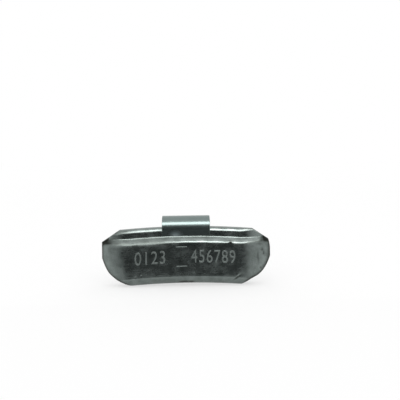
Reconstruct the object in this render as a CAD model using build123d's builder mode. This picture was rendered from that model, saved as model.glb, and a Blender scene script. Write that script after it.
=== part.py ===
"""Clip-on balance weight for a truck wheel: a cast lead body with a spring steel clip cast into it.

X runs along the rim, Y from the front face to the rim flange, Z away from the wheel's axle.
The weight stands on its lower edge, with the origin under the middle of its box.
"""

import os
from math import cos, radians, sin, sqrt, tan

from build123d import *

# Cast body, seen from the front
body_length = 83.0
rim_radius = 350.0
tip_level = 20.0
shoulder_drop = 6.0
shoulder_run = 9.0
side_height = 7.7
foot_length = 53.0
corner_bulge = 2.4

# Cast body, seen from the end
face_height = 20.75
face_slant = 6.0
thickness = 6.7
bevel_depth = 2.8
bevel_rise = 2.2
riser_lean = 0.4
riser_rise = 2.75
rib_slope_depth = 0.9
rib_slope_rise = 1.25
rib_top_depth = 1.6
rib_top_rise = 0.4

# Rounded ends and edges of the casting
end_run = 15.0
tip_edge = 1.2
rear_edge = 0.7
lower_edge_radius = 3.9
face_edge_radius = 1.8
crease_radius = 1.2
rib_front_radius = 1.2
rib_top_radius = 0.8
rib_back_radius = 0.5
heel_radius = 0.8

# Spring clip, measured on the middle line of the strip
clip_width = 23.4
strip_thickness = 1.2
foot_depth = 13.0
hook_radius = 5.8
hook_clearance = 3.65
hook_fall = 40.0
slope_run = 3.0
flange_gap = 12.6
leg_length = 3.5
tip_radius = 4.0
tip_turn = 32.0
tip_corner = 1.5
anchor_bore = 6.0
anchor_spacing = 12.0
anchor_depth = 6.5

# Levels and depths of the section at the middle of the weight
crease_level = face_height + bevel_rise
rib_front_level = crease_level + riser_rise
rib_slope_level = rib_front_level + rib_slope_rise
rib_level = rib_slope_level + rib_top_rise
riser_top = bevel_depth + riser_lean
rib_slope_top = riser_top + rib_slope_depth
rib_crest = rib_slope_top + rib_top_depth
slant = radians(face_slant)
face_foot = -face_height * tan(slant)

# Stations of the outline seen from the front
half_length = body_length / 2
side_foot = tip_level - side_height
face_end = half_length - end_run
end_depth = thickness - tip_edge


def rim_drop(x):
    """How far the rim falls away at a distance x from the middle."""
    return sqrt(rim_radius**2 - x**2) - rim_radius


# Stations of the strip's middle line
strip_half = strip_thickness / 2
front_leg = bevel_depth + strip_half
back_leg = thickness + flange_gap + strip_half
hook_centre = rib_level + hook_clearance + strip_half - hook_radius
fall = radians(hook_fall)
slope_reach = hook_radius * (1 + sin(fall)) + slope_run * cos(fall)
back_radius = (back_leg - front_leg - slope_reach) / (1 - sin(fall))

# Spring clip: one bent strip, from the foot in the casting over the flange to the curled tip
with BuildPart() as spring_clip:
    with BuildSketch(Plane.YZ):
        with BuildLine():
            leg = Line((front_leg, crease_level - foot_depth), (front_leg, hook_centre))
            hook = JernArc(leg @ 1, leg % 1, hook_radius, -90 - hook_fall)
            slope = PolarLine(hook @ 1, slope_run, direction=hook % 1)
            back = JernArc(slope @ 1, slope % 1, back_radius, hook_fall - 90)
            drop = PolarLine(back @ 1, leg_length, direction=back % 1)
            curl = JernArc(drop @ 1, drop % 1, tip_radius, -tip_turn)
        trace(line_width=strip_thickness)
    extrude(amount=clip_width / 2, both=True)
    # Rounded corners of the free end
    tip = curl @ 1
    tip_face = spring_clip.faces().sort_by_distance((0, tip.X, tip.Y))[0]
    fillet(tip_face.edges().filter_by(Axis.X, reverse=True), tip_corner)
    # Holes in the foot, which the casting fills
    with BuildSketch(Plane.XZ.offset(-front_leg)):
        with Locations((0, crease_level - anchor_depth)):
            with GridLocations(anchor_spacing, 0, 2, 1):
                Circle(anchor_bore / 2)
    extrude(amount=strip_thickness, both=True, mode=Mode.SUBTRACT)

# The casting's section travels along this path, which drops with the rim and bends back at both ends
with BuildLine() as spine:
    middle_end = (face_end, 0, rim_drop(face_end))
    middle = ThreePointArc((-face_end, 0, rim_drop(face_end)), (0, 0, 0), middle_end)
    bend = TangentArc(middle @ 1, (half_length, end_depth, rim_drop(half_length)), tangent=middle % 1)
    past_tip = Line(bend @ 1, bend @ 1 + bend % 1 * thickness)
    mirror((bend, past_tip), about=Plane.YZ)

# Shapes that are cut to one another reach past the casting
overreach = 2 * rib_level
rib_top_slope = rib_top_rise / rib_top_depth

# Relief of the front: face, bevel, riser and rib
with BuildPart() as relief:
    with BuildSketch(Plane.YZ) as section:
        with BuildLine():
            Polyline(
                (overreach, 0),
                (face_foot, 0),
                (0, face_height),
                (bevel_depth, crease_level),
                (riser_top, rib_front_level),
                (rib_slope_top, rib_slope_level),
                (overreach, rib_slope_level + rib_top_slope * (overreach - rib_slope_top)),
                close=True,
            )
        make_face()
        fillet(section.vertices().sort_by_distance((face_foot, 0))[0], lower_edge_radius)
        fillet(section.vertices().sort_by_distance((0, face_height))[0], face_edge_radius)
        fillet(section.vertices().sort_by_distance((bevel_depth, crease_level))[0], crease_radius)
        fillet(section.vertices().sort_by_distance((riser_top, rib_front_level))[0], rib_front_radius)
        fillet(section.vertices().sort_by_distance((rib_slope_top, rib_slope_level))[0], rib_top_radius)
    sweep(path=spine.wires()[0], normal=(1, 0, 0))
    # Thin rear edge, where the relief runs out at the tips
    with Locations((0, thickness - rear_edge, side_foot)):
        Box(2 * body_length, overreach, overreach, align=(Align.CENTER, Align.MIN, Align.MIN))

# Cast body
with BuildPart() as weight_body:
    # Rib, shoulders, sides and lower corners, seen from the front
    with BuildSketch(Plane.XZ.offset(-thickness)):
        with BuildLine():
            shoulder_top = (half_length - 2 * shoulder_run, tip_level + 2 * shoulder_drop)
            shoulder = Line((half_length, tip_level), shoulder_top)
            side = Line((half_length, tip_level), (half_length, side_foot))
            corner = SagittaArc(side @ 1, (foot_length / 2, rim_drop(foot_length / 2)), corner_bulge)
            tail = PolarLine(corner @ 1, lower_edge_radius, direction=corner % 1)
            Line(tail @ 1, (0, (tail @ 1).Y))
            Line(shoulder @ 1, (0, (shoulder @ 1).Y))
            mirror(about=Plane.YZ)
        make_face()
        with Locations((0, -rim_radius)):
            Circle(rim_radius + rib_level, mode=Mode.INTERSECT)
    extrude(amount=overreach)

    # Softened rear edges of the rib, the shoulders and the sides
    rear_edges = weight_body.faces().sort_by(Axis.Y)[-1].edges()
    fillet(rear_edges.sort_by(Axis.Z)[-5:], rib_back_radius)

    # Relief of the front and softened rear edge of the underside
    add(relief.part, mode=Mode.INTERSECT)
    fillet(weight_body.edges().sort_by_distance((0, thickness, 0))[0], heel_radius)

    # Pocket and anchors round the foot of the clip
    add(spring_clip.part, mode=Mode.SUBTRACT)

# Both pieces are set down with the origin under the middle of their box
box = weight_body.part.bounding_box().add(spring_clip.part.bounding_box())
set_down = Location((0, -box.center().Y, -box.min.Z))
weight_body.part.move(set_down)
spring_clip.part.move(set_down)

os.makedirs("parts", exist_ok=True)
weight_body.part.label = "weight_body"
export_step(weight_body.part, "parts/weight_body.step")
spring_clip.part.label = "spring_clip"
export_step(spring_clip.part, "parts/spring_clip.step")
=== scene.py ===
# %% [markdown]
# # Clip-on balance weight for a truck wheel
# A balance weight is a bar of cast lead that hangs on the flange of a wheel's rim by a steel clip.
# The CAD model already holds its true sizes, so the scene begins by loading that model as a frame.
# Every object below is in metres and in the same axes: X along the rim, Y from the face to the clip,
# Z away from the axle. The box of the CAD model gives the casting its length and its place in these axes.

# %% Load the CAD frame
from math import cos, pi, radians, sin, tan

import bpy
import numpy as np
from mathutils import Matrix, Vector


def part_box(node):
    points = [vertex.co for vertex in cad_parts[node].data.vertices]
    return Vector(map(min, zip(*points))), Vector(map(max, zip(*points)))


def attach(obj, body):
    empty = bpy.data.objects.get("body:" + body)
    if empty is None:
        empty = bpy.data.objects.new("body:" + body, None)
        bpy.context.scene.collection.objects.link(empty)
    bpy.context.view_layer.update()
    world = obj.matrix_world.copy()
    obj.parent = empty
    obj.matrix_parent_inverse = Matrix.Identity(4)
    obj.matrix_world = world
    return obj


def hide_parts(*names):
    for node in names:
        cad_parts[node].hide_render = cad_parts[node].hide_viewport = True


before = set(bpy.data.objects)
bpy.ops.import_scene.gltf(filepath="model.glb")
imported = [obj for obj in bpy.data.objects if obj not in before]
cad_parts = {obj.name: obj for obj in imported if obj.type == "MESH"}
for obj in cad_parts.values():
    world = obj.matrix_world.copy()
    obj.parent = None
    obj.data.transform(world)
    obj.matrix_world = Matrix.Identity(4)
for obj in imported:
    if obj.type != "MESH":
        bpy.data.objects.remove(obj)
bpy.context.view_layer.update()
mm = 0.001
scene = bpy.context.scene

# %% [markdown]
# ## Camera
# The photograph was taken from in front of the face and a little above it, from about a hand's length away.
# A camera could be placed by eye. Here it stands where a pinhole camera fits the edges measured in the
# picture, and it looks past the weight, because the weight sits low in the picture. The lens follows from
# the field of view, and the lens shift stays at zero.

# %% Camera
picture_width, focal_pixels = 400, 480
film_width = 36
camera_place = Vector((2.2, -237.45, 62.2)) * mm
camera_down, camera_right, camera_roll = radians(5.14), radians(1.19), radians(-0.72)

lens = bpy.data.cameras.new("photo_camera")
lens.sensor_width = film_width
lens.lens = film_width * focal_pixels / picture_width
lens.clip_start = 10 * mm
camera = bpy.data.objects.new("photo_camera", lens)
scene.collection.objects.link(camera)
scene.camera = camera
aim = Vector((sin(camera_right) * cos(camera_down), cos(camera_right) * cos(camera_down), -sin(camera_down)))
turned = aim.to_track_quat("-Z", "Y").to_matrix().to_4x4()
camera.matrix_world = turned @ turned.Rotation(camera_roll, 4, "Z")
camera.location = camera_place
print("lens", round(lens.lens, 1), "mm, looking along", [round(v, 3) for v in aim])

# %% [markdown]
# ## Colours and nodes
# Paint charts and pictures give colours as sRGB hex values, but a shader works with linear light.
# One function does that change for every colour in the file. A second one adds a node with its settings
# and its links, so that a material reads as a list of what it is made of.

# %% Helpers for materials
def linear(hex_colour):
    """sRGB hex to linear RGBA.

    A channel c is c / 12.92 up to 0.04045, and ((c + 0.055) / 1.055) ^ 2.4 above it.
    """
    channels = np.array([int(hex_colour[i : i + 2], 16) for i in (1, 3, 5)]) / 255
    low, high = channels / 12.92, ((channels + 0.055) / 1.055) ** 2.4
    return (*np.where(channels <= 0.04045, low, high).tolist(), 1.0)


def add(tree, kind, inputs=(), **settings):
    """Adds one node. Each input is (socket, value), and a value that is an output socket becomes a link."""
    node = tree.nodes.new(kind)
    for name, value in settings.items():
        setattr(node, name, value)
    for socket, value in inputs:
        if isinstance(value, bpy.types.NodeSocket):
            tree.links.new(value, node.inputs[socket])
        else:
            node.inputs[socket].default_value = value
    return node


def new_material(name):
    """An empty node material, ready for a shader."""
    material = bpy.data.materials.new(name)
    material.use_nodes = True
    material.node_tree.nodes.clear()
    return material, material.node_tree


print("mid grey in linear light:", [round(v, 3) for v in linear("#808080")])

# %% [markdown]
# ## Stage: floor, white surround and soft light
# The picture shows the weight cut out on pure white. A white world gives that ground to the camera and to
# the reflections in the metal. The floor is white too, and glows a little for the eye and for reflections,
# so that the weight's shadow on it stays faint. Bright metal shows what stands round it: a photographer
# sets a dark card in front, which turns the flat face dark, two more above the ends, which pick out the
# tips, and a lamp high in front, which draws the bright lines along the edges. Cards and lamp are there for
# reflections alone, and neither the camera nor the floor sees them.

# %% Floor and white surround
white, floor_half, floor_glow = "#ffffff", 4.0, 0.6


def stage_sheet(name, sides_x, fold, colour, glow):
    """A matt sheet folded along X: the line of (y, z) points in fold, carried from one side to the other."""
    material, tree = new_material("stage_" + name)
    matt = add(tree, "ShaderNodeBsdfPrincipled", [("Base Color", linear(colour)), ("Roughness", 1.0)])
    # The glow is for the eye and for reflections, so the largest of three yes-or-no rays switches it
    rays = add(tree, "ShaderNodeLightPath").outputs
    seen = rays["Is Camera Ray"]
    for kind in ("Is Glossy Ray", "Is Transmission Ray"):
        seen = add(tree, "ShaderNodeMath", [(0, seen), (1, rays[kind])], operation="MAXIMUM").outputs[0]
    share = add(tree, "ShaderNodeMath", [(0, seen), (1, glow)], operation="MULTIPLY").outputs[0]
    light = add(tree, "ShaderNodeEmission", [("Color", linear(white)), ("Strength", 1.0)])
    mixed = add(tree, "ShaderNodeMixShader", [(0, share), (1, matt.outputs[0]), (2, light.outputs[0])])
    add(tree, "ShaderNodeOutputMaterial", [("Surface", mixed.outputs[0])])
    line = np.array(fold, float)
    sides = [np.column_stack((np.full(len(line), x), line)) for x in sides_x]
    first = np.arange(len(line) - 1)
    quads = np.stack((first, first + len(line), first + len(line) + 1, first + 1), -1)
    mesh = bpy.data.meshes.new(name)
    mesh.from_pydata(np.concatenate(sides).tolist(), [], quads.tolist())
    mesh.materials.append(material)
    sheet = bpy.data.objects.new(name, mesh)
    scene.collection.objects.link(sheet)
    return sheet


stage_sheet("floor", (-floor_half, floor_half), [(-floor_half, 0), (floor_half, 0)], white, floor_glow)

world = bpy.data.worlds.new("white_surround")
scene.world = world
world.use_nodes = True
tree = world.node_tree
tree.nodes.clear()
ground = add(tree, "ShaderNodeBackground", [("Color", linear(white)), ("Strength", 1.0)])
add(tree, "ShaderNodeOutputWorld", [("Surface", ground.outputs[0])])
scene.view_settings.view_transform = "Standard"
print("floor of", 2 * floor_half, "m under a white world")

# %% Cards and lamp
card_gap, card_near, card_far, card_top = 0.0005, -0.036, -0.40, 0.30
in_front = [(card_near, card_gap), (card_far, card_gap), (card_far, card_top)]
overhead = [(-0.10, 0.45), (0.60, 0.45)]
mid_grey, dark_grey = "#525354", "#2c2d2e"
cards = [  # name, sides in x, fold as (y, z) points, colour, glow
    ("front_card", (-0.42, 0.21), in_front, mid_grey, 0.0),
    ("left_card", (-0.95, -0.29), overhead, dark_grey, 0.0),
    ("right_card", (0.40, 0.95), overhead, dark_grey, 0.0),
]
reflected = [stage_sheet(*card) for card in cards]

lamp_width, lamp_depth, lamp_radiance = 0.80, 0.16, 4.4
lamp_place = Vector((0.02, -0.26, 0.385))
lamp_data = bpy.data.lights.new("front_lamp", "AREA")
lamp_data.shape = "RECTANGLE"
lamp_data.size, lamp_data.size_y = lamp_width, lamp_depth
# A flat lamp of radiance L sends out L * pi * area
lamp_data.energy = lamp_radiance * pi * lamp_width * lamp_depth
lamp = bpy.data.objects.new("front_lamp", lamp_data)
lamp.location = lamp_place
lamp.rotation_mode = "QUATERNION"
lamp.rotation_quaternion = (-lamp_place).to_track_quat("-Z", "Y")
scene.collection.objects.link(lamp)
for item in (*reflected, lamp):
    item.visible_camera = False
    item.visible_diffuse = False
    item.visible_shadow = False
print("lamp of", round(lamp_data.energy, 2), "W and", len(reflected), "cards")

# %% [markdown]
# ## Finish of the casting: bare antimonial lead from a steel mould
# Lead leaves the mould silvery and dulls within days to a grey with a touch of green. The flat of the mould
# is polished, so the face is satin with faint flow marks. At the ends and along the lower edge the mould is
# rougher, and the metal looks sandy. Edges that were rubbed shine again, and the fresh lead along them is
# also a painted highlight. Dirt stays in the hollows, and the same dark colour is painted shade in the
# hollows and over the highlights of the edges, and a painted dark reflection round the rim and at the tips.
# The mesh carries these three as attributes: one for sand, one for rub with painted highlight, and one for
# dirt with painted shade. They are worked out with the shape and so stay tied to it. Noise alone would put
# them anywhere.

# %% Material: cast lead
flow_length, flow_width = 5.0 * mm, 0.9 * mm
blotch_size, relief_height = 4.0 * mm, 0.12 * mm
sand_grain = 0.5 * mm  # the real grain is finer than a pixel, so it is drawn as coarse as it needs to show
# The darkest colour stands for dirt and also for painted shade and painted dark reflection; fresh lead is
# also painted as a highlight along the edges
dark_oxide, light_oxide, fresh_lead_and_sheen, dark_dirt_and_shade = "#6e7673", "#8d9693", "#bcc4c1", "#24251f"
face_bright, face_dull, sand_dull = 0.16, 0.34, 0.42  # roughness
grain_share, blotch_share, flow_relief = 0.5, 0.55, 0.28

# To the eye: a dark, faintly green mirror that is blurred by a fine skin
cast_lead, tree = new_material("cast_lead_from_steel_mould")
place = add(tree, "ShaderNodeTexCoord").outputs["Object"]
sandy = add(tree, "ShaderNodeAttribute", attribute_name="sandy").outputs["Fac"]
wear_and_sheen = add(tree, "ShaderNodeAttribute", attribute_name="wear_and_sheen").outputs["Fac"]
painted_shade_and_dirt = add(tree, "ShaderNodeAttribute", attribute_name="painted_shade_and_dirt").outputs["Fac"]
# Flow marks: noise pulled out along the bar
pull = (1 / flow_length, 1 / flow_width, 1 / flow_width)
pulled = add(tree, "ShaderNodeMapping", [("Vector", place), ("Scale", pull)])
flow = add(tree, "ShaderNodeTexNoise", [("Vector", pulled.outputs[0]), ("Scale", 1.0), ("Detail", 4.0)])
blotch = add(tree, "ShaderNodeTexNoise", [("Vector", place), ("Scale", 1 / blotch_size), ("Detail", 5.0)])
grain = add(tree, "ShaderNodeTexNoise", [("Vector", place), ("Scale", 1 / sand_grain), ("Detail", 3.0)])
# Oxide grey in soft patches, finely mottled by the grain
mottle = add(
    tree,
    "ShaderNodeMath",
    [(0, grain.outputs["Fac"]), (1, grain_share), (2, blotch.outputs["Fac"])],
    operation="MULTIPLY_ADD",
)
patchy = add(tree, "ShaderNodeMapRange", [("Value", mottle.outputs[0]), ("From Min", 0.5), ("From Max", 1.0)])
# A Mix node has its share at socket 0, two numbers at 2 and 3, and two colours at 6 and 7
oxide = add(
    tree,
    "ShaderNodeMix",
    [(0, patchy.outputs[0]), (6, linear(dark_oxide)), (7, linear(light_oxide))],
    data_type="RGBA",
)
# Rubbed edges show fresh metal, which is also a painted highlight; hollows hold dirt and painted shade
fresh_and_sheen = add(
    tree,
    "ShaderNodeMix",
    [(0, wear_and_sheen), (6, oxide.outputs[2]), (7, linear(fresh_lead_and_sheen))],
    data_type="RGBA",
)
# The dark colour is mixed in for dirt, and also as painted shade and painted dark reflection
darkened = add(
    tree,
    "ShaderNodeMix",
    [(0, painted_shade_and_dirt), (6, fresh_and_sheen.outputs[2]), (7, linear(dark_dirt_and_shade))],
    data_type="RGBA",
)
# The face shines unevenly, and the sandy parts are dull
uneven = add(tree, "ShaderNodeMix", [(0, blotch_share), (2, flow.outputs["Fac"]), (3, blotch.outputs["Fac"])])
shine = add(
    tree,
    "ShaderNodeMapRange",
    [
        ("Value", uneven.outputs[0]),
        ("From Min", 0.35),
        ("From Max", 0.65),
        ("To Min", face_bright),
        ("To Max", face_dull),
    ],
)
dull = add(tree, "ShaderNodeMix", [(0, sandy), (2, shine.outputs[0]), (3, sand_dull)], clamp_factor=False)
# Relief: low flow marks on the face, sand on the ends
sand_height = add(tree, "ShaderNodeMath", [(0, grain.outputs["Fac"]), (1, sandy)], operation="MULTIPLY")
relief = add(
    tree,
    "ShaderNodeMath",
    [(0, uneven.outputs[0]), (1, flow_relief), (2, sand_height.outputs[0])],
    operation="MULTIPLY_ADD",
)
bump = add(
    tree,
    "ShaderNodeBump",
    [("Height", relief.outputs[0]), ("Distance", relief_height), ("Strength", 0.6)],
)
shader = add(
    tree,
    "ShaderNodeBsdfPrincipled",
    [
        ("Base Color", darkened.outputs[2]),
        ("Metallic", 1.0),
        ("Roughness", dull.outputs[0]),
        ("Normal", bump.outputs[0]),
    ],
)
add(tree, "ShaderNodeOutputMaterial", [("Surface", shader.outputs[0])])
print("cast lead with", len(tree.nodes), "nodes")

# %% [markdown]
# ## Finish of the clip: bright zinc on rolled spring steel
# The strip is rolled, cut, bent, hardened and then zinc plated. The plating is thin, so the fine lines of
# the rolling still show along the strip, and its passivation gives a cool bluish cast. Where the clip was
# knocked, the plating is scuffed and dull: a soft spot at one place of the strip, in its own coordinates.

# %% Material: zinc-plated spring steel
roll_length, roll_height, cloud_size = 25.0 * mm, 0.01 * mm, 5.0 * mm
roll_line = 0.25 * mm  # real rolling lines are finer, so they are drawn as coarse as they need to show
scuff_across, scuff_along, scuff_wide, scuff_long = -5.0 * mm, 13.2 * mm, 4.6 * mm, 3.4 * mm
dark_zinc, light_zinc, scuffed_zinc = "#73807e", "#828d8b", "#a8b6b9"
line_bright, line_dull, scuff_dull = 0.18, 0.30, 0.52  # roughness

# To the eye: a cool, clear mirror with faint lines
zinc_plate, tree = new_material("bright_zinc_on_spring_steel")
strip = add(tree, "ShaderNodeUVMap", uv_map="strip")
draw = (1 / roll_line, 1 / roll_length, 1)
drawn = add(tree, "ShaderNodeMapping", [("Vector", strip.outputs[0]), ("Scale", draw)])
lines = add(tree, "ShaderNodeTexNoise", [("Vector", drawn.outputs[0]), ("Scale", 1.0), ("Detail", 2.0)])
place = add(tree, "ShaderNodeTexCoord").outputs["Object"]
clouds = add(tree, "ShaderNodeTexNoise", [("Vector", place), ("Scale", 1 / cloud_size), ("Detail", 3.0)])
# The scuff: the mapping puts its middle at zero, and its share falls from 1 there to 0 at a length of 1
centred = add(
    tree,
    "ShaderNodeMapping",
    [
        ("Vector", strip.outputs[0]),
        ("Location", (-scuff_across / scuff_wide, -scuff_along / scuff_long, 0)),
        ("Scale", (1 / scuff_wide, 1 / scuff_long, 1)),
    ],
)
from_knock = add(tree, "ShaderNodeVectorMath", [(0, centred.outputs[0])], operation="LENGTH")
scuffed = add(
    tree,
    "ShaderNodeMapRange",
    [("Value", from_knock.outputs["Value"]), ("To Min", 1.0), ("To Max", 0.0)],
    interpolation_type="SMOOTHSTEP",
).outputs[0]
tint = add(
    tree,
    "ShaderNodeMix",
    [(0, clouds.outputs["Fac"]), (6, linear(dark_zinc)), (7, linear(light_zinc))],
    data_type="RGBA",
)
scuff_tint = add(
    tree,
    "ShaderNodeMix",
    [(0, scuffed), (6, tint.outputs[2]), (7, linear(scuffed_zinc))],
    data_type="RGBA",
)
haze = add(
    tree,
    "ShaderNodeMapRange",
    [("Value", lines.outputs["Fac"]), ("To Min", line_bright), ("To Max", line_dull)],
)
scuff_haze = add(tree, "ShaderNodeMix", [(0, scuffed), (2, haze.outputs[0]), (3, scuff_dull)])
bump = add(
    tree,
    "ShaderNodeBump",
    [("Height", lines.outputs["Fac"]), ("Distance", roll_height), ("Strength", 0.3)],
)
shader = add(
    tree,
    "ShaderNodeBsdfPrincipled",
    [
        ("Base Color", scuff_tint.outputs[2]),
        ("Metallic", 1.0),
        ("Roughness", scuff_haze.outputs[0]),
        ("Normal", bump.outputs[0]),
    ],
)
add(tree, "ShaderNodeOutputMaterial", [("Surface", shader.outputs[0])])
print("zinc plate with", len(tree.nodes), "nodes")

# %% [markdown]
# ## Outline of the casting
# Seen from the front the bar bends with the rim: its lower edge and its rib are arcs about the wheel's axle,
# the shoulders slope down to upright sides, and the lower corners are rounded. This weight has been knocked
# about: its right tip falls away in a curve, and neither lower corner is a true arc. A grid fits such an
# outline if each column of points runs from the lower edge to the upper one, with more columns towards the
# ends and more rows towards the edges, where the surface turns over. A filled curve would have no points
# inside to carry the relief. From here on lengths are in millimetres, until a mesh is made.

# %% Outline seen from the front
body_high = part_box("weight_body")[1] / mm
half_length = round(body_high.x, 3)
rim_radius, rib_level = 350.0, 27.35
tip_level, shoulder_drop, shoulder_run = 20.0, 6.0, 9.0
side_foot, half_foot, corner_bulge = 12.3, 26.5, 2.4
knock_run, knock_drop = 1.1, 4.4
corner_wear = [(31.4, 4.0, 1.25), (-31.0, 2.8, 0.20), (-38.3, 2.3, -0.60)]  # x, half width, rise of the edge
wear_blend = 1.0
columns, rows = 440, 106


def ramp(t, start, end):
    """A share that goes straight from 0 at start to 1 at end: (t - start) / (end - start), held in 0 to 1."""
    return np.clip((t - start) / (end - start), 0.0, 1.0)


def bell(t, half_width):
    """A share that is 1 at zero and fades on both sides: exp(-(t / half_width)^2)."""
    return np.exp(-((t / half_width) ** 2))


def rim_arc(x, level):
    """Height of a circle about the axle whose middle is at a level: sqrt((rim + level)^2 - x^2) - rim."""
    return np.sqrt((rim_radius + level) ** 2 - x**2) - rim_radius


def corner_arc(x):
    """Lower corner as height over x: an arc between its two ends, which bulges out by a set amount."""
    inner = np.array((half_foot, rim_arc(half_foot, 0.0)))
    outer = np.array((half_length, side_foot))
    chord = np.linalg.norm(outer - inner)
    radius = (chord**2 / 4 + corner_bulge**2) / (2 * corner_bulge)
    outward = np.array((outer[1] - inner[1], inner[0] - outer[0])) / chord
    centre = (inner + outer) / 2 - outward * (radius - corner_bulge)
    return centre[1] - np.sqrt(np.maximum(radius**2 - (x - centre[0]) ** 2, 0.0))


def crowded(count):
    """Numbers from -1 to 1 that crowd towards both ends: the mean of t and sin(t * pi / 2)."""
    t = np.linspace(-1.0, 1.0, count)
    return (t + np.sin(t * pi / 2)) / 2


across = half_length * crowded(columns)
low = np.where(np.abs(across) <= half_foot, rim_arc(across, 0.0), corner_arc(np.abs(across)))
shoulder = tip_level + (half_length - np.abs(across)) * shoulder_drop / shoulder_run
high = np.minimum(rim_arc(across, rib_level), shoulder)
# The knock at the right tip, and the wear of the lower corners, which fades in where the foot ends
high = high - knock_drop * ramp(across, half_length - knock_run, half_length) ** 2
past_foot = ramp(np.abs(across), half_foot - wear_blend, half_foot + wear_blend)
for worn_x, half_worn, edge_rise in corner_wear:
    low = low + edge_rise * past_foot * bell(across - worn_x, half_worn)

rise = (crowded(rows) + 1) / 2
grid_x = np.repeat(across[:, None], rows, 1)
grid_z = low[:, None] + (high - low)[:, None] * rise
level = grid_z - rim_arc(grid_x, 0.0)
print("grid of", columns, "by", rows, "points, lower edge up to", round(low.max(), 2), "mm at the tips")

# %% [markdown]
# ## Relief of the face
# The mould gives every part of the front its depth, so the front is a height field: for each point
# of the outline, how far back the metal lies. The face leans by a few degrees and rounds away at the lower
# edge. Above it come the bevel, the riser and the slope and top of the rib, a flight of slopes with rounded
# knees, which are worn softer on the left half and climb a little towards the tips. At the ends all of it
# bends back together, until only a thin rear edge is left. A boolean of solids would leave knife edges,
# which a casting never has.

# %% Depth of the front
thickness, rear_edge = 6.7, 0.7
face_height, slant, lower_radius = 20.75, radians(6.0), 4.3
flights = [  # rise, depth; of the knee below: softness, wear at the left, lift at the left and right end
    (1.92, 2.80, 0.42, 0.7, 1.3, 1.7),
    (3.03, 0.40, 0.22, 0.3, 0.6, 1.0),
    (1.25, 0.90, 0.18, 0.1, 0.0, 2.0),
    (0.40, 1.60, 0.12, 0.0, 0.0, 2.0),
]
worn_start, worn_full = -2.0, -16.0
lift_start, lift_run, lift_softness = 27.0, 9.5, 1.0
end_run, end_depth, end_softness = 15.0, 5.5, 0.6
mould_waves = [  # height, radians per mm and phase; the same two for a slower wave that swells it
    (0.050, 0.61, 0.4, 0.23, 0.0),
    (0.020, 1.30, 2.0, 0.37, 1.0),
    (0.006, 2.90, 1.3, 0.00, pi / 2),
]


def bend(t, softness):
    """A ramp with a rounded knee: softness * log(1 + exp(t / softness)), near 0 below zero and t above it."""
    return softness * np.logaddexp(0.0, t / softness)


def end_lift(x, left, right):
    """How far a knee climbs towards a tip: its lift there times (|x| - start) / run, from 0 softly to 1."""
    share = np.minimum(bend(np.abs(x) - lift_start, lift_softness) / lift_run, 1.0)
    return np.where(x > 0.0, right, left) * share


def front_depth(x, level):
    """Depth of the front: leaning face, rounded toe, one bent ramp per knee, and the arc of the ends."""
    # A worn mould: its edges wander by a few hundredths of a millimetre
    edge = level
    for height, pace, phase, slow_pace, slow_phase in mould_waves:
        edge = edge + height * np.sin(x * pace + phase) * np.sin(x * slow_pace + slow_phase)
    # Leaning face and its toe, a quarter round down to the lower edge
    face = (level - face_height) * tan(slant)
    toe = -face_height * tan(slant) + lower_radius * (tan(slant) + 1 / cos(slant))
    toe = toe - np.sqrt(np.maximum(lower_radius**2 - (lower_radius - level) ** 2, 0.0))
    face = np.where(level < lower_radius * (1 - sin(slant)), toe, face)
    # Bevel, riser and rib: at each knee the slope changes, more softly towards the worn left end
    slope, knee = tan(slant), face_height
    for flight_rise, flight_depth, softness, wear, *lifts in flights:
        above = edge - knee - end_lift(x, *lifts)
        soft = softness * (1.0 + wear * ramp(x, worn_start, worn_full))
        face = face + (flight_depth / flight_rise - slope) * bend(above, soft)
        slope, knee = flight_depth / flight_rise, knee + flight_rise
    # Ends: an arc of the radius that falls back by end_depth over end_run
    end_radius = (end_run**2 + end_depth**2) / (2 * end_depth)
    past = bend(np.abs(x) - (half_length - end_run), end_softness)
    return face + end_radius - np.sqrt(end_radius**2 - past**2)


front = np.minimum(front_depth(grid_x, level), thickness - rear_edge)
print("depth of the front from", round(front.min(), 2), "to", round(front.max(), 2), "mm")

# %% [markdown]
# ## Edges, knocks and casting flaws
# Round the outline the metal turns over in a small radius, larger at the ends, and so does the back. The
# photograph also shows pits near the lower corners, scratches, dents on the right end and a rough spot in
# the middle of the lower edge, where the metal ran in. Each is a bell-shaped hollow that is added to the
# depth, long and narrow for a scratch, and a burr at the upper edge is a bell that stands out. The sum of
# the hollows also says where dirt collects and where painted shade darkens them.

# %% Flaws
flaws = [  # x, level, half length, half width, turn in degrees, depth
    (-24.4, 4.6, 0.6, 0.35, 80, 0.16),
    (-21.7, 5.2, 0.6, 0.35, 60, 0.13),
    (24.2, 4.0, 1.9, 0.36, 42, 0.30),
    (36.9, 17.6, 0.7, 0.7, 0, 0.26),
    (37.6, 15.8, 0.5, 0.8, 0, 0.28),
    (34.6, 14.0, 0.5, 2.4, 0, 0.17),
    (36.0, 9.0, 0.7, 0.5, 55, 0.22),
    (-8.2, 18.0, 0.9, 0.25, -45, 0.10),
    (18.8, 18.9, 1.0, 0.30, 10, 0.10),
    (-1.8, 0.9, 1.7, 0.8, 0, 0.30),
    (2.6, 1.2, 0.9, 0.6, 0, 0.22),
    (21.4, 21.1, 0.8, 0.55, 0, -0.35),
]


def hollow(x, z, flaw):
    """A bell of the given depth, in axes turned on the face: depth * bell(u, length) * bell(v, width)."""
    x0, z0, half_long, half_wide, turn, depth = flaw
    c, s = cos(radians(turn)), sin(radians(turn))
    u, v = (x - x0) * c + (z - z0) * s, (z - z0) * c - (x - x0) * s
    return depth * bell(u, half_long) * bell(v, half_wide)


def ripples(x, z):
    """Waves of the cooling metal, a few microns high: one up the face that sways, and one along the bar."""
    return 0.004 * np.sin(z * 1.1 + 0.9 * np.sin(x * 0.17)) + 0.006 * np.sin(x * 0.33 + 1.0)


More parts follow.
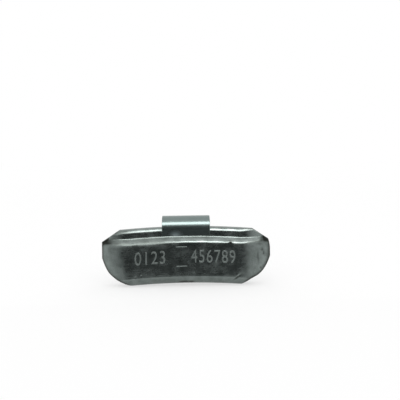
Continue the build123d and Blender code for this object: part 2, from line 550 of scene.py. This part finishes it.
pits = sum(hollow(grid_x, level, flaw) for flaw in flaws)
front = np.minimum(front + pits + ripples(grid_x, grid_z), thickness - rear_edge)
print(len(flaws), "flaws, the deepest", round(pits.max(), 2), "mm")

# %% Rounded edges and the back
edge_radius, end_edge_radius, heel_radius, end_blend = 0.35, 0.9, 0.8, 4.0
upper_share, end_share, heel_share = 0.4, 0.6, 0.3  # how much of the thickness a rounding may take


def roll_off(distance, radius):
    """How far a surface falls back near its edge: a quarter circle, r - sqrt(r^2 - (r - d)^2)."""
    inside = np.clip(radius - distance, 0.0, radius)
    return radius - np.sqrt(np.maximum(radius**2 - inside**2, 0.0))


def slope_share(height):
    """Cosine of an outline's slope, which turns a height above it into a distance from it."""
    return 1 / np.sqrt(1 + np.gradient(height, across)[:, None] ** 2)


to_high = (high[:, None] - grid_z) * slope_share(high)
to_low = (grid_z - low[:, None]) * slope_share(low)
to_end = np.minimum(to_low, half_length - np.abs(grid_x))

room = thickness - front
at_end = ramp(np.abs(grid_x), half_foot, half_foot + end_blend)
upper_round = np.minimum(edge_radius, upper_share * room)
end_round = np.minimum(edge_radius + (end_edge_radius - edge_radius) * at_end, end_share * room)
heel_round = np.minimum(heel_radius + (edge_radius - heel_radius) * at_end, heel_share * room)
front = front + np.maximum(roll_off(to_high, upper_round), roll_off(to_end, end_round))
back = thickness - np.maximum(roll_off(to_high, upper_round), roll_off(to_end, heel_round))
print("thinnest metal at the rim:", round((back - front).min(), 2), "mm")

# %% [markdown]
# ## The casting as one closed mesh
# The front and the back are two sheets over the same grid, and a narrow wall joins them round the outline.
# Both come from whole arrays, so the mesh is closed and even, and no modifier has to mend it afterwards.
# The arrays count depth from the upper edge of the face and height from the middle of the lower edge, and
# one function moves them into the axes of the CAD model.

# %% Helpers for meshes
depth_shift, height_shift = body_high.y - thickness, body_high.z - rib_level


def in_frame(x, depth, z):
    """Points of the CAD frame in mm, from x, the depth behind the face's upper edge, and the height."""
    return np.stack((x, depth + depth_shift, z + height_shift), -1).reshape(-1, 3)


def sheet_faces(first, count_u, count_v, flip):
    """Quads of a grid whose points are numbered row after row from first, turned round if flip is set."""
    number = first + np.arange(count_u * count_v).reshape(count_u, count_v)
    quads = np.stack((number[:-1, :-1], number[1:, :-1], number[1:, 1:], number[:-1, 1:]), -1).reshape(-1, 4)
    return quads[:, ::-1] if flip else quads


def outline_loop(first, count_u, count_v):
    """Numbers of the grid's border points in order round the outline."""
    number = first + np.arange(count_u * count_v).reshape(count_u, count_v)
    return np.concatenate((number[:-1, 0], number[-1, :-1], number[:0:-1, -1], number[0, :0:-1]))


def solid_piece(name, points_mm, faces, material):
    """A smooth mesh object from points in millimetres in the CAD frame, riding on the one body."""
    mesh = bpy.data.meshes.new(name)
    mesh.from_pydata((points_mm * mm).tolist(), [], faces)
    mesh.materials.append(material)
    mesh.polygons.foreach_set("use_smooth", np.ones(len(mesh.polygons), bool))
    piece = bpy.data.objects.new(name, mesh)
    scene.collection.objects.link(piece)
    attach(piece, "root")
    return piece


print("arrays move by", round(depth_shift, 2), "mm in depth and", round(height_shift, 2), "mm in height")

# %% Casting
count = columns * rows
loop_front, loop_back = outline_loop(0, columns, rows), outline_loop(count, columns, rows)
wall = np.stack((loop_front, loop_back, np.roll(loop_back, -1), np.roll(loop_front, -1)), -1)
quads = np.concatenate((sheet_faces(0, columns, rows, False), sheet_faces(count, columns, rows, True), wall))
points = np.concatenate((in_frame(grid_x, front, grid_z), in_frame(grid_x, back, grid_z)))
casting = solid_piece("lead_casting", points, quads.tolist(), cast_lead)
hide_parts("weight_body")
print("casting:", len(casting.data.vertices), "points,", 2 * len(casting.data.polygons), "triangles")

# %% [markdown]
# ## Wear, painted highlight and painted shade of the casting
# A used casting wears where things touch it. The ends and the low band of the face are sandy from the
# mould, and the upper edges have gone dull on the left half and at the tips. Handling has rubbed the edge
# of the face and of the rib bright, in patches and mostly on the right, and that brightening is also a
# painted highlight. Dirt and painted shade sit in the pits, the low band of the face is darker, painted shade
# dims the lines of the relief, and a painted dark reflection runs round the rim of the ends and the tips.
# Painting this by hand would need an image, so each kind is a share for every point of the grid, made of
# ramps and bells that follow the lines of the shape.

# %% Sand
crease_level = face_height + flights[0][0]
rib_crown = 0.5  # the rib catches the eye a little above its knee
rib_edge = crease_level + flights[1][0] + rib_crown
right_face, left_face, face_fade = 24.8, 26.5, 9.5  # where the face ends in x, and how long the sand fades in
flare_level, flare_run, flare_share = 14.0, 10.0, 0.25  # lower down the left end reaches further in
fringe_reach = 0.9
end_sand, bevel_sand, rib_sand, tip_sand = 1.1, 0.7, 0.6, 0.9

fringe = np.sin(level * 2.9 + 1.6 * np.sin(level * 1.1)) + 0.7 * np.sin(level * 6.7 + grid_x * 0.5)
left_start = left_face - flare_share * np.clip(flare_level - level, 0.0, flare_run)
past_face = np.abs(grid_x) + fringe_reach * fringe - np.where(grid_x > 0.0, right_face, left_start)
past_face = ramp(past_face, 0.0, face_fade)
low_band = ramp(level, 5.6, 3.0)
from_edge = level - face_height - end_lift(grid_x, *flights[0][4:])
under_edge = ramp(from_edge, 0.2, -0.8)
on_bevel = ramp(level, crease_level + 0.3, crease_level - 0.7)
on_rib = ramp(level, rib_edge - 1.2, rib_edge - 0.2)
worn_edge = bevel_sand * on_bevel * ramp(grid_x, -3.0, -15.0)
worn_edge = worn_edge + rib_sand * on_rib * ramp(grid_x, -8.0, -33.0)
worn_edge = worn_edge + tip_sand * ramp(np.abs(grid_x), 29.5, 33.5)
# Smoothstep, t^2 * (3 - 2 t), lets the sand of the ends set in without a line
sand = np.maximum(end_sand * past_face**2 * (3 - 2 * past_face) * under_edge, low_band)
sand = np.maximum(sand, worn_edge * (1 - under_edge))
print("sandy on", round(100 * (sand > 0.5).mean()), "% of the points of the front")

# %% Rubbed metal and painted highlight
most_rub_and_sheen, fade_length = 0.6, 60.0

# Fresh lead along the edge of the face and of the rib, where the lamp's highlights run: partly rubbed wear,
# partly a painted highlight
patches = 0.55 + 0.25 * np.sin(grid_x * 0.21 + 0.8) + 0.20 * np.sin(grid_x * 0.83 + 2.1)
inner = ramp(np.abs(grid_x), 36.0, 28.0)
edge_band = bell(from_edge - 0.4, 0.9) * np.clip(0.6 + grid_x / fade_length, 0.2, 1.0)
rib_line = bell(level - rib_edge - end_lift(grid_x, *flights[2][4:]), 0.6)
rib_band = rib_line * np.clip(0.7 + grid_x / fade_length, 0.1, 1.0)
rub_and_sheen = most_rub_and_sheen * inner * patches * np.maximum(edge_band, rib_band)
print("rubbed up to", round(rub_and_sheen.max(), 2))

# %% Dirt and painted shade
# Shares of the dark colour: dirt and painted shade in the pits, a darker low band, painted shade over the
# highlights of the bevel, the face's edge, the crease and the rib, and painted dark reflection round the rim
# and at the tips
pit_dirt_and_shade, low_band_darkening, bevel_shade, bevel_cap, most_darkening = 2.2, 0.24, 0.42, 0.6, 0.92
edge_left_shade, edge_right_shade, crease_shade, rib_shade = 0.45, 0.65, 0.3, 0.5
left_rim, right_rim, right_rim_growth = 0.95, 1.1, 0.5  # width of the painted dark reflection round the rim
tip_start, tip_blend, tip_gain = 38.0, 1.5, 2.0  # where the upper edge starts to count as rim
# Dark spots: one at the rough spot where the metal ran in, painted shade on the burr at the upper edge, and
# painted dark reflection at the left and right tips
dark_spots = [  # x, level, half length, half height, strength
    (0.2, 0.6, 3.0, 1.1, 0.6),
    (21.4, 20.75, 0.9, 0.6, 0.9),
    (-39.6, 22.1, 3.0, 1.0, 0.45),
    (37.2, 23.1, 1.5, 0.7, 0.35),
    (35.8, 20.6, 1.6, 0.7, 0.4),
]

# Dirt and painted shade in the pits, and a darker low band along the lower edge of the face
shade_and_dirt = pit_dirt_and_shade * np.maximum(pits, 0.0) + low_band_darkening * low_band
for spot_x, spot_level, half_long, half_high, strength in dark_spots:
    shade_and_dirt = shade_and_dirt + strength * bell(grid_x - spot_x, half_long) * bell(level - spot_level, half_high)
# Painted shade along the lines of the relief, which dims their highlights: most of the left half, and both
# ends
edge_line = bell(from_edge + 0.3, 0.6)
crease_line = bell(level - crease_level - end_lift(grid_x, *flights[1][4:]), 0.5)
past_right = ramp(grid_x, 26.0, 30.0)
crease_kept_bright = ramp(grid_x, 11.0, 15.0) * ramp(grid_x, 29.0, 27.0)
shade_and_dirt = shade_and_dirt + bevel_shade * np.minimum(ramp(grid_x, -3.0, -23.0), bevel_cap) * bell(from_edge - 0.7, 1.2)
shade_and_dirt = shade_and_dirt + edge_line * (edge_left_shade * ramp(grid_x, 4.0, -12.0) + edge_right_shade * past_right)
shade_and_dirt = shade_and_dirt + crease_shade * crease_line * (1 - crease_kept_bright)
shade_and_dirt = shade_and_dirt + rib_shade * rib_line * (past_right + ramp(grid_x, -26.0, -29.0))
# Painted dark reflection round the rim of both ends, and along the upper edge only at the tips
to_rim = np.minimum(to_end, to_high + tip_gain * np.clip(tip_start - np.abs(grid_x), 0.0, tip_blend))
rim_width = np.where(grid_x > 0.0, right_rim + right_rim_growth * ramp(level, 9.0, 12.0), left_rim)
shade_and_dirt = np.clip(shade_and_dirt + at_end * bell(to_rim, rim_width), 0.0, most_darkening)
print("dirt up to", round(shade_and_dirt.max(), 2))

# %% Attributes of the casting
def set_layer(piece, name, values):
    """Writes one number per point into a named attribute of the piece's mesh."""
    layer = piece.data.attributes.new(name, "FLOAT", "POINT")
    layer.data.foreach_set("value", np.ravel(values).astype(np.float32))


# The back is sandy all over, and gets neither rub nor painted highlight, and neither dirt nor painted shade
for name, values, back_value in (("sandy", sand, 1.0), ("wear_and_sheen", rub_and_sheen, 0.0), ("painted_shade_and_dirt", shade_and_dirt, 0.0)):
    set_layer(casting, name, np.concatenate((values.ravel(), np.full(count, back_value))))
print("attributes:", [layer.name for layer in casting.data.attributes if layer.data_type == "FLOAT"])

# %% [markdown]
# ## The spring clip as a profile carried along a path
# The clip is one strip of steel. Its heading, the angle at which the strip runs, is constant on a straight
# run and changes evenly in a bend, so a short table of lengths and angles describes the whole path and a
# running sum gives the points. A rounded rectangle is carried along it and narrows at the free end.
# A bevelled curve could do that too, but its end would not narrow in a round.

# %% Path of the clip
strip_half, front_leg, foot_level = 0.6, 3.4, 9.95
hook_radius, hook_fall, hook_level = 5.8, 40.0, 25.8
slope_run, flange_gap, leg_length = 3.0, 12.6, 3.5
tip_radius, tip_turn = 4.0, 32.0
path_samples = 480

fall = radians(hook_fall)
reach = hook_radius * (1 + sin(fall)) + slope_run * cos(fall)
back_radius = (thickness + flange_gap + strip_half - front_leg - reach) / (1 - sin(fall))
runs = np.array(
    [
        hook_level - foot_level,
        hook_radius * (pi / 2 + fall),
        slope_run,
        back_radius * (pi / 2 - fall),
        leg_length,
        tip_radius * radians(tip_turn),
    ]
)
headings = np.radians([90, 90, -hook_fall, -hook_fall, -90, -90, -90 - tip_turn])
stations = np.concatenate(([0.0], np.cumsum(runs)))


def strip_path(samples):
    """Lengths, points and headings along the strip: a point is the running sum of the headings before it."""
    s = np.linspace(0.0, stations[-1], samples)
    step = s[1] - s[0]
    middle = np.interp(s[:-1] + step / 2, stations, headings)
    y = front_leg + np.concatenate(([0.0], np.cumsum(np.cos(middle)))) * step
    z = foot_level + np.concatenate(([0.0], np.cumsum(np.sin(middle)))) * step
    return s, y, z, np.interp(s, stations, headings)


s, path_y, path_z, angle = strip_path(path_samples)
print("strip of", round(stations[-1], 1), "mm, bent at its back to a radius of", round(back_radius, 1), "mm")

# %% Clip
half_width, edge_round, tip_corner = 11.7, 0.2, 1.5


def strip_profile(per_corner=5):
    """Rounded rectangle: for each point its corner, +-1 across and +-1 deep, and its place on the round."""
    t = np.concatenate([np.linspace(q, q + pi / 2, per_corner) for q in (0, pi / 2, pi, 3 * pi / 2)])
    corner = np.repeat(np.array([(1, 1), (-1, 1), (-1, -1), (1, -1)]), per_corner, 0)
    return corner, np.stack((np.cos(t), np.sin(t)), -1)


corner, circle = strip_profile()
narrowing = roll_off(stations[-1] - s, tip_corner)[:, None]
wide = corner[:, 0] * (half_width - edge_round - narrowing) + circle[:, 0] * edge_round
deep = np.broadcast_to(corner[:, 1] * (strip_half - edge_round) + circle[:, 1] * edge_round, wide.shape)
# The strip's outer side lies to the left of its heading
strip_y = path_y[:, None] - deep * np.sin(angle)[:, None]
strip_z = path_z[:, None] + deep * np.cos(angle)[:, None]
number = np.arange(wide.size).reshape(wide.shape)
ahead = np.roll(number, -1, 1)
skin = np.stack((number[:-1], number[1:], ahead[1:], ahead[:-1]), -1).reshape(-1, 4)
faces = [*skin.tolist(), number[0].tolist(), number[-1, ::-1].tolist()]
clip = solid_piece("clip_strip", in_frame(wide, strip_y, strip_z), faces, zinc_plate)
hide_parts("spring_clip")

# The material's own coordinates: metres across the strip and along it
strip_uv = np.stack((wide * mm, np.broadcast_to(s[:, None] * mm, wide.shape)), -1).reshape(-1, 2)
corners = np.zeros(len(clip.data.loops), np.int32)
clip.data.loops.foreach_get("vertex_index", corners)
layer = clip.data.uv_layers.new(name="strip")
layer.data.foreach_set("uv", strip_uv[corners].astype(np.float32).ravel())
print("clip:", len(clip.data.polygons), "faces")

# %% [markdown]
# ## Raised figures and bars
# The mould-maker cuts plain figures and two short bars into the flat of the mould, and they stand
# proud of the face by a fraction of a millimetre. Blender's own font gives the figures as text, which
# becomes a mesh first. Each point is then laid on the leaning face, on an arc about the axle, so the row
# follows the bend of the bar. The bars are small capsules, sunk in the face by half.

# %% Figures
# The figures' brightening is partly wear and partly a painted highlight
figure_height, figure_proud, figure_sand, figure_rub_and_sheen = 6.1, 0.28, 1.4, 0.2
figures = [  # text, middle, level of its foot, width
    ("0123", -17.3, 10.5, 14.6),
    ("456789", 13.0, 10.7, 21.4),
]
# In shares of the font's size: half depth, bevel, how much thinner the strokes are; and the letter spacing
stroke_depth, stroke_bevel, stroke_thinning, letter_space = 0.03, 0.012, -0.012, 1.12


def on_face(u, v, w):
    """A point of the face: u along the bar, v as its level, and w as how far it stands proud of the metal."""
    return in_frame(u, (v - face_height) * tan(slant) - w / cos(slant), rim_arc(u, 0.0) + v)


def figure_mesh(words):
    """Points and faces of a line of text with its middle at zero and its depth from -1 to 1."""
    curve = bpy.data.curves.new(words, "FONT")
    curve.body, curve.align_x = words, "CENTER"
    curve.extrude, curve.bevel_depth, curve.bevel_resolution = stroke_depth, stroke_bevel, 1
    curve.offset, curve.resolution_u, curve.space_character = stroke_thinning, 6, letter_space
    helper = bpy.data.objects.new(words, curve)
    scene.collection.objects.link(helper)
    mesh = bpy.data.meshes.new_from_object(helper.evaluated_get(bpy.context.evaluated_depsgraph_get()))
    points = np.zeros(len(mesh.vertices) * 3)
    mesh.vertices.foreach_get("co", points)
    faces = [tuple(face.vertices) for face in mesh.polygons]
    bpy.data.objects.remove(helper)
    bpy.data.meshes.remove(mesh)
    points = points.reshape(-1, 3)
    return points / (1, 1, np.abs(points[:, 2]).max()), faces


def scour(piece, sand_value, rub_and_sheen_value):
    """Raised metal takes the wear: the same sand and the same brightening on every point, partly wear and
    partly a painted highlight, and no dark colour.
    """
    same = np.ones(len(piece.data.vertices))
    for name, value in (("sandy", sand_value), ("wear_and_sheen", rub_and_sheen_value), ("painted_shade_and_dirt", 0.0)):
        set_layer(piece, name, same * value)


for index, (words, middle, foot, width) in enumerate(figures):
    points, faces = figure_mesh(words)
    u = points[:, 0] * width / np.ptp(points[:, 0]) + middle
    v = points[:, 1] * figure_height / points[:, 1].max() + foot
    placed = on_face(u, v, points[:, 2] * figure_proud)
    piece = solid_piece(f"raised_figures_{index + 1}", placed, faces, cast_lead)
    piece.data.polygons.foreach_set("use_smooth", np.zeros(len(faces), bool))
    scour(piece, figure_sand, figure_rub_and_sheen)
    print(piece.name, len(points), "points")

# %% Bars
bar_proud, bar_half_height, bar_sand, bar_rub = 0.16, 0.22, 1.2, 0.0
bars = [(-2.2, 18.2, 2.6), (-2.2, 9.0, 2.6)]  # middle, level, half length
ring_points, rings = 16, 15
end_power, side_power = 0.35, 0.5  # below 1, they square a ball off into a bar

turn_steps = np.linspace(0, 2 * pi, ring_points + 1)[:-1]
tilt_steps = np.linspace(-pi / 2, pi / 2, rings + 2)[1:-1]
turn, tilt = np.meshgrid(turn_steps, tilt_steps)
number = np.arange(turn.size).reshape(turn.shape)
ahead = np.roll(number, -1, 1)
skin = np.stack((number[:-1], ahead[:-1], ahead[1:], number[1:]), -1).reshape(-1, 4)
faces = [*skin.tolist(), number[0, ::-1].tolist(), number[-1].tolist()]
# A squared ball: sin(tilt) ^ end_power along the bar, cos(tilt) ^ side_power round it
along = np.sign(np.sin(tilt)) * np.abs(np.sin(tilt)) ** end_power
around = np.cos(tilt) ** side_power
for index, (middle, bar_level, half_bar) in enumerate(bars):
    up_bar = around * np.cos(turn) * bar_half_height + bar_level
    placed = on_face(along * half_bar + middle, up_bar, around * np.sin(turn) * bar_proud)
    piece = solid_piece(f"raised_bar_{index + 1}", placed, faces, cast_lead)
    scour(piece, bar_sand, bar_rub)
print(len(bars), "bars of", 2 * bars[0][2], "mm")
